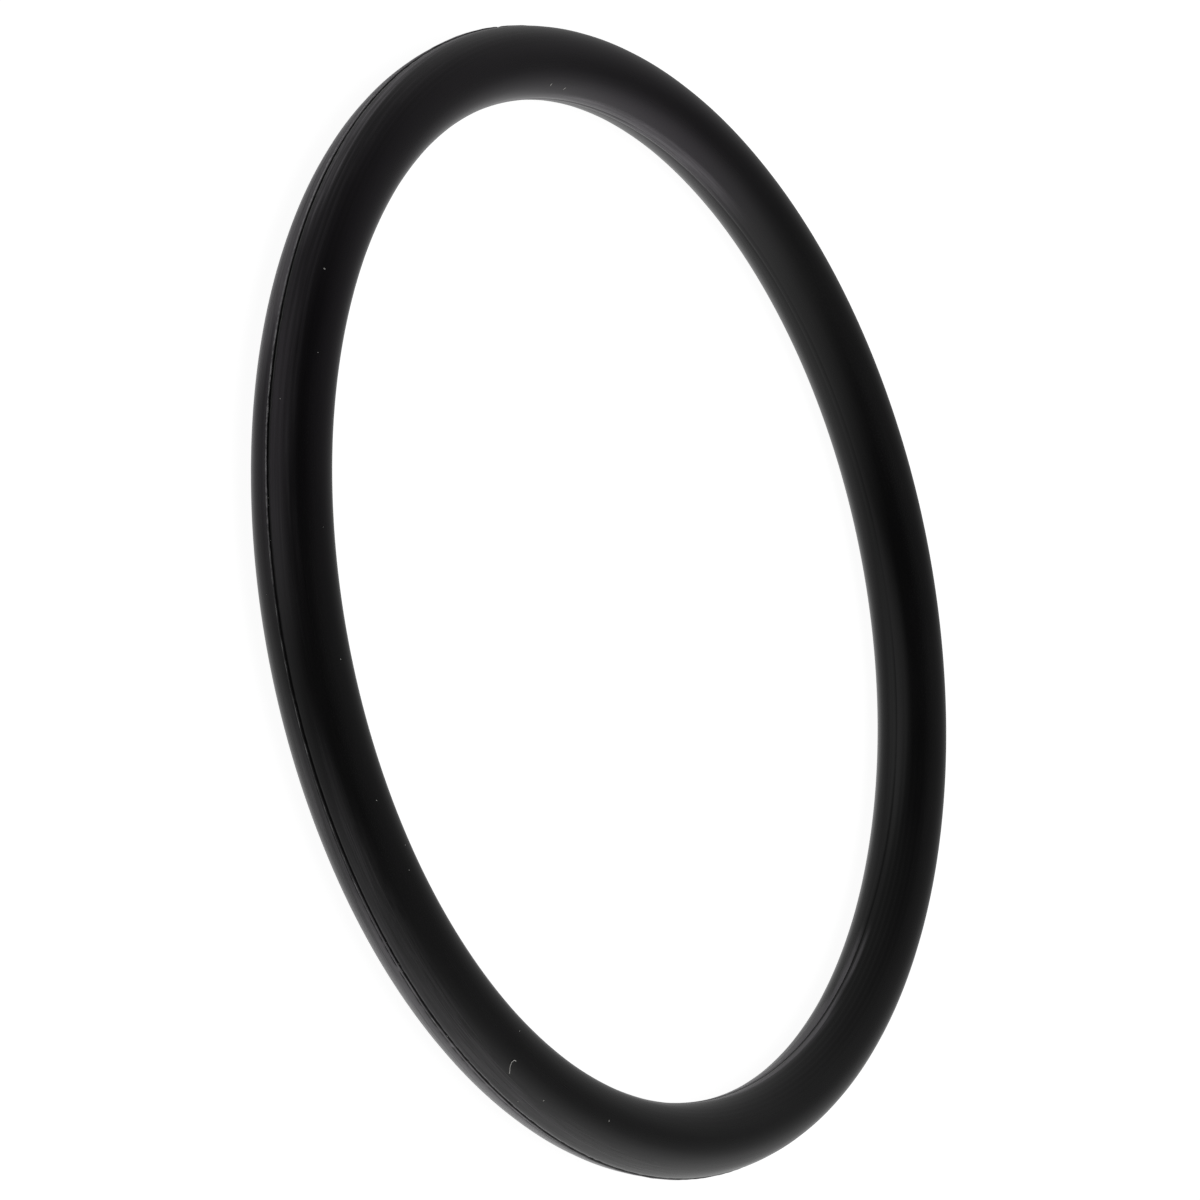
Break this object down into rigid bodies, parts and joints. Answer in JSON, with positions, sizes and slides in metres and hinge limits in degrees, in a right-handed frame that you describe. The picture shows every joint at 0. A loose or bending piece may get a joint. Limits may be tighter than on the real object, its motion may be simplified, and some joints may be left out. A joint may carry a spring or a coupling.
{
  "type": "rubber o-ring",
  "caption": "Rubber o-ring with a round cord section and a fine line of trimmed mould flash at the bore and the rim, for sealing between a shaft or plug and its housing.",
  "frame": {"origin": "centre of the ring, on its axis and midway through its thickness, in the plane where the mould plates met", "axes": "+Z along the ring's axis, up as it lies flat; X and Y across the ring, with no marked direction"},
  "size_m": [0.0832, 0.0832, 0.0054],
  "materials": {
    "black_rubber": "satin"
  },
  "bodies": {
    "root": {"o_ring": "black_rubber"}
  },
  "joints": []
}
